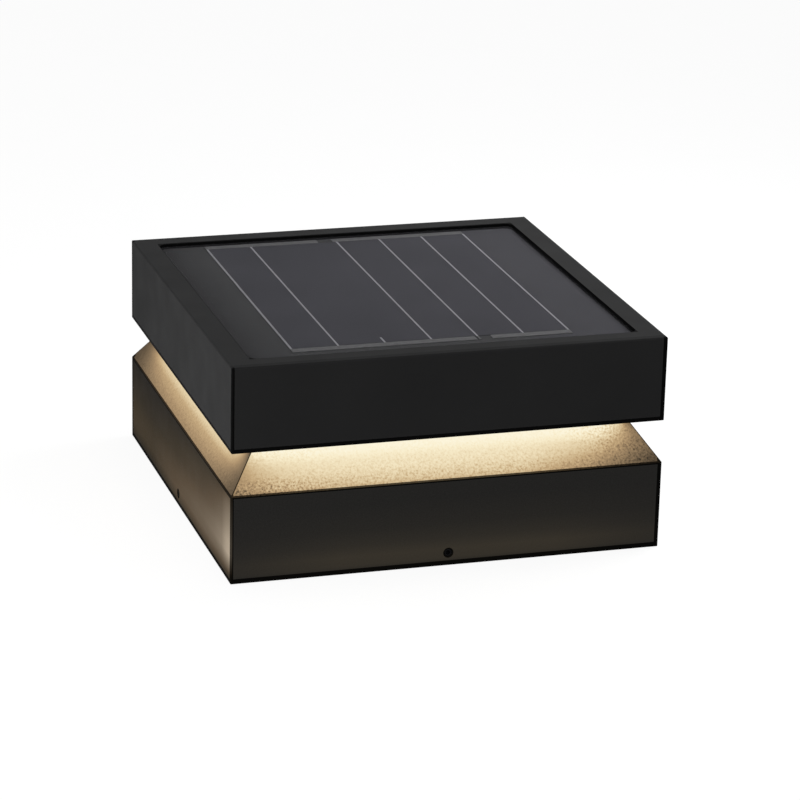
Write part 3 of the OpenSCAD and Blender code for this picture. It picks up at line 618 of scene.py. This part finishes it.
def panel_board():
    """Laminate behind the cells: painted shade along the left edge, a violet painted sheen on the
    right.
    """
    material, tree, shader = new_material("panel_board", 0.5, specular=0.003)
    place = object_place(tree)
    across = maths(tree, "MULTIPLY_ADD", split(tree, place)[0], 0.5 / HALF_WIDTH, 0.5)
    # tones raised as a painted sheen, with painted shade near the left edge
    ground = ramp(tree, across, ((0.055, (0.045, 0.045, 0.046)), (0.1, (0.073, 0.073, 0.075)),
                                 (0.15, (0.09, 0.09, 0.092)), (0.65, (0.09, 0.09, 0.092)),
                                 (0.81, (0.101, 0.1, 0.113))))
    cloud = noise(tree, place, 8 * MM, detail=4)
    scale = ramp(tree, cloud, ((0.25, 0.92), (0.75, 1.08)))
    tree.links.new(combined(tree, "MULTIPLY", ground, scale), shader.inputs["Base Color"])
    vary_roughness(tree, shader, cloud, 0.44, 0.58)
    bump(tree, shader, noise(tree, place, 0.6 * MM), 0.002 * MM)
    return material


def tinned_ribbon():
    """Dull tinned ribbon, the bars across the strips' ends darker than the lines between."""
    material, tree, shader = new_material("tinned_ribbon", 0.45, specular=0.02)
    place = object_place(tree)
    y = split(tree, place)[1]
    low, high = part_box("cell_ribbons")
    inward = maths(tree, "MINIMUM", maths(tree, "SUBTRACT", y, low.y),
                   maths(tree, "SUBTRACT", high.y, y))
    on_line = above(tree, inward, BAR_WIDTH)
    streaks = noise(tree, place, 2 * MM, detail=3)
    bar = ramp(tree, streaks, ((0.25, (0.15, 0.15, 0.155)), (0.75, (0.22, 0.22, 0.225))))
    line = ramp(tree, streaks, ((0.25, (0.4, 0.395, 0.43)), (0.75, (0.52, 0.515, 0.55))))
    tree.links.new(mixed(tree, on_line, bar, line), shader.inputs["Base Color"])
    vary_roughness(tree, shader, streaks, 0.38, 0.52)
    bump(tree, shader, streaks, 0.01 * MM)
    return material


def opal_diffuser():
    """Opal plastic lit from behind, brighter over each LED."""
    material, tree, shader = new_material("opal_diffuser", 0.45)
    place = object_place(tree)
    shader.inputs["Base Color"].default_value = (0.85, 0.82, 0.74, 1)
    x, y, _ = split(tree, place)
    along = choose(tree, front_or_back(tree, x, y), y, x)
    wave = maths(tree, "SINE", maths(tree, "DIVIDE", along, LED_PITCH / math.pi))
    over_led = product(tree, wave, wave)
    clouds = noise(tree, place, 15 * MM)
    level = choose(tree, CLOUD_SHARE, over_led, clouds)
    tone = ramp(tree, level, ((0.1, (0.74, 0.55, 0.3)), (0.85, (0.9, 0.76, 0.5))))
    tree.links.new(tone, shader.inputs["Emission Color"])
    shader.inputs["Emission Strength"].default_value = 1.0
    vary_roughness(tree, shader, clouds, 0.4, 0.5)
    bump(tree, shader, noise(tree, place, 0.7 * MM), 0.01 * MM)
    return material


def led_phosphor():
    """Yellow phosphor of the LED packages, lit."""
    material, tree, shader = new_material("led_phosphor", 0.3)
    place = object_place(tree)
    vary_colour(tree, shader, noise(tree, place, 1 * MM), (0.9, 0.72, 0.25), 0.1)
    shader.inputs["Emission Color"].default_value = (1.0, 0.82, 0.5, 1)
    shader.inputs["Emission Strength"].default_value = 1.0
    return material


# ---------- Dressing the pieces ----------

SIDES = ("front", "back", "left", "right")


def each_side(name):
    """Names of the four nodes that a piece has, one for each side."""
    return [f"{name}_{side}" for side in SIDES]


def dress(material, *names):
    """Gives the named CAD nodes one material, whatever slots they came with."""
    for name in names:
        for slot in nodes[name].material_slots:
            slot.material = material


def dress_outside():
    """What shows when the light stands on its post."""
    dress(head_coat(), "head_housing")
    dress(base_coat(), "base_housing")
    dress(cover_sheet(), "panel_cover")
    dress(silicon_cells(), "solar_cells")
    dress(tinned_ribbon(), "cell_ribbons")
    dress(panel_board(), "panel_backboard")
    dress(worn("black_oxide", (0.012, 0.012, 0.013), 0.5, 0.3 * MM, 0.02 * MM, specular=0.02),
          *each_side("set_screw"))
    dress(opal_diffuser(), "diffuser_frame")


def dress_underside():
    """What shows from below, inside the post socket."""
    dress(brushed("stainless_steel", (0.55, 0.55, 0.54), 0.32), "base_screws",
          "base_screw_washers", "battery_door_screws", "tray_screws", "board_screws")
    dress(worn("black_abs", (0.025, 0.025, 0.027), 0.6, 0.35 * MM, 0.04 * MM), "battery_box",
          "battery_door", "switch_rear")
    dress(brushed("nickel_plate", (0.6, 0.58, 0.54), 0.22, along=(0, 0, 1)), "switch_bezel",
          "switch_nut", "battery_contact_plus", "battery_contact_minus", "battery_spring",
          "button_spring")
    dress(worn("red_button", (0.5, 0.03, 0.02), 0.3, 0.6 * MM, 0.01 * MM), "power_button")
    dress(worn("black_rubber", (0.02, 0.02, 0.021), 0.75, 0.5 * MM, 0.03 * MM), "switch_seal",
          "wire_grommet", "panel_seal")
    dress(worn("clear_silicone", (0.5, 0.5, 0.47), 0.45, 0.8 * MM, 0.02 * MM),
          "battery_door_seal")


def dress_inside():
    """What shows only when the light is taken apart."""
    dress(brushed("bare_aluminium", (0.62, 0.62, 0.63), 0.35), "light_tray")
    dress(worn("foam_gasket", (0.05, 0.05, 0.05), 0.9, 0.6 * MM, 0.15 * MM), "tray_gasket")
    dress(worn("white_mask", (0.8, 0.8, 0.77), 0.35, 1 * MM, 0.01 * MM, spread=0.04),
          *each_side("led_board"))
    dress(led_phosphor(), *each_side("led_chips"))
    dress(worn("red_insulation", (0.45, 0.02, 0.02), 0.35, 0.5 * MM, 0.01 * MM), "led_jumpers",
          "battery_leads", "switch_leads")
    dress(worn("black_insulation", (0.02, 0.02, 0.02), 0.35, 0.5 * MM, 0.01 * MM), "panel_leads",
          "led_leads")
    dress(worn("cell_wrap", (0.04, 0.16, 0.32), 0.25, 2 * MM, 0.01 * MM), "battery_cell")
    dress(worn("green_mask", (0.015, 0.13, 0.05), 0.35, 0.8 * MM, 0.01 * MM), "control_board")
    dress(worn("chip_epoxy", (0.025, 0.025, 0.026), 0.6, 0.2 * MM, 0.01 * MM), "controller_chip")
    dress(worn("ferrite", (0.09, 0.09, 0.1), 0.7, 0.3 * MM, 0.03 * MM), "power_inductor")
    dress(worn("capacitor_sleeve", (0.04, 0.05, 0.16), 0.3, 0.6 * MM, 0.01 * MM),
          "filter_capacitors")
    dress(worn("nylon", (0.75, 0.75, 0.7), 0.45, 0.6 * MM, 0.02 * MM, spread=0.05),
          "lead_connectors")


def make_button_spring():
    """The button's return spring again, as a piece of its own on the light's body."""
    node = nodes["button_spring"]
    spring = bpy.data.objects.new("return_spring", node.data.copy())
    bpy.context.scene.collection.objects.link(spring)
    for slot, fitted in zip(spring.material_slots, node.material_slots):
        slot.material = fitted.material
    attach(spring, "light")
    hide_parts("button_spring")
    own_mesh(spring)


# ---------- Studio ----------

def lit_for_eye(tree):
    """1 for the rays that show the background: the camera's, and those of gloss and glass."""
    path = add(tree, "LightPath")
    return largest(tree, path.outputs["Is Camera Ray"], path.outputs["Is Glossy Ray"],
                   path.outputs["Is Transmission Ray"])


def make_world():
    """White to the eye, and dimmer as a light."""
    world = bpy.data.worlds.new("studio")
    world.use_nodes = True
    tree = world.node_tree
    background = tree.nodes["Background"]
    background.inputs["Color"].default_value = (1, 1, 1, 1)
    strength = maths(tree, "MULTIPLY_ADD", lit_for_eye(tree), 1 - WORLD_LEVEL, WORLD_LEVEL)
    tree.links.new(strength, background.inputs["Strength"])
    bpy.context.scene.world = world


def make_floor():
    """Pale floor that the camera sees as white, with the light's shadow on it."""
    mesh = bpy.data.meshes.new("floor")
    corners = [(side * FLOOR_HALF, end * FLOOR_HALF, 0)
               for side, end in ((-1, -1), (1, -1), (1, 1), (-1, 1))]
    mesh.from_pydata(corners, [], [(0, 1, 2, 3)])
    floor = bpy.data.objects.new("floor", mesh)
    floor.location.z = -FLOOR_DROP
    bpy.context.scene.collection.objects.link(floor)
    material, tree, shader = new_material("floor", 0.9, specular=0)
    speckle = noise(tree, object_place(tree), 40 * MM, detail=3)
    vary_colour(tree, shader, speckle, (FLOOR_COLOUR,) * 3, 0.02)
    shader.inputs["Emission Color"].default_value = (1, 1, 1, 1)
    added = product(tree, lit_for_eye(tree), FLOOR_TO_WHITE)
    tree.links.new(added, shader.inputs["Emission Strength"])
    mesh.materials.append(material)


def direction(azimuth, elevation):
    """Unit vector by degrees from the front towards the right, and degrees upward."""
    around, up = math.radians(azimuth), math.radians(elevation)
    return Vector((math.sin(around) * math.cos(up), -math.cos(around) * math.cos(up),
                   math.sin(up)))


def make_lamps():
    """Area lamps that face the middle of the light."""
    for name, azimuth, elevation, distance, width, level in LAMPS:
        outward = direction(azimuth, elevation)
        lamp = bpy.data.lights.new(name, "AREA")
        lamp.size = width
        lamp.energy = level * math.pi ** 2 * distance ** 2
        placed = bpy.data.objects.new(name, lamp)
        placed.location = LAMP_AIM + outward * distance
        placed.rotation_euler = outward.to_track_quat("Z", "Y").to_euler()
        placed.visible_camera = False
        bpy.context.scene.collection.objects.link(placed)


def make_camera():
    """Camera at its fitted place, turned and then rolled."""
    back = direction(CAMERA_YAW, CAMERA_PITCH)
    right = Vector((0, 0, 1)).cross(back).normalized()
    turned = Matrix((right, back.cross(right), back)).transposed().to_4x4()
    roll = Matrix.Rotation(math.radians(CAMERA_ROLL), 4, "Z")
    lens = bpy.data.cameras.new("camera")
    lens.sensor_width = SENSOR_WIDTH
    lens.lens = CAMERA_LENS
    camera = bpy.data.objects.new("camera", lens)
    camera.matrix_world = Matrix.Translation(CAMERA_PLACE) @ turned @ roll
    bpy.context.scene.collection.objects.link(camera)
    bpy.context.scene.camera = camera


dress_outside()
dress_underside()
dress_inside()
make_button_spring()
make_world()
make_floor()
make_lamps()
make_camera()
bpy.context.scene.view_settings.view_transform = "Standard"
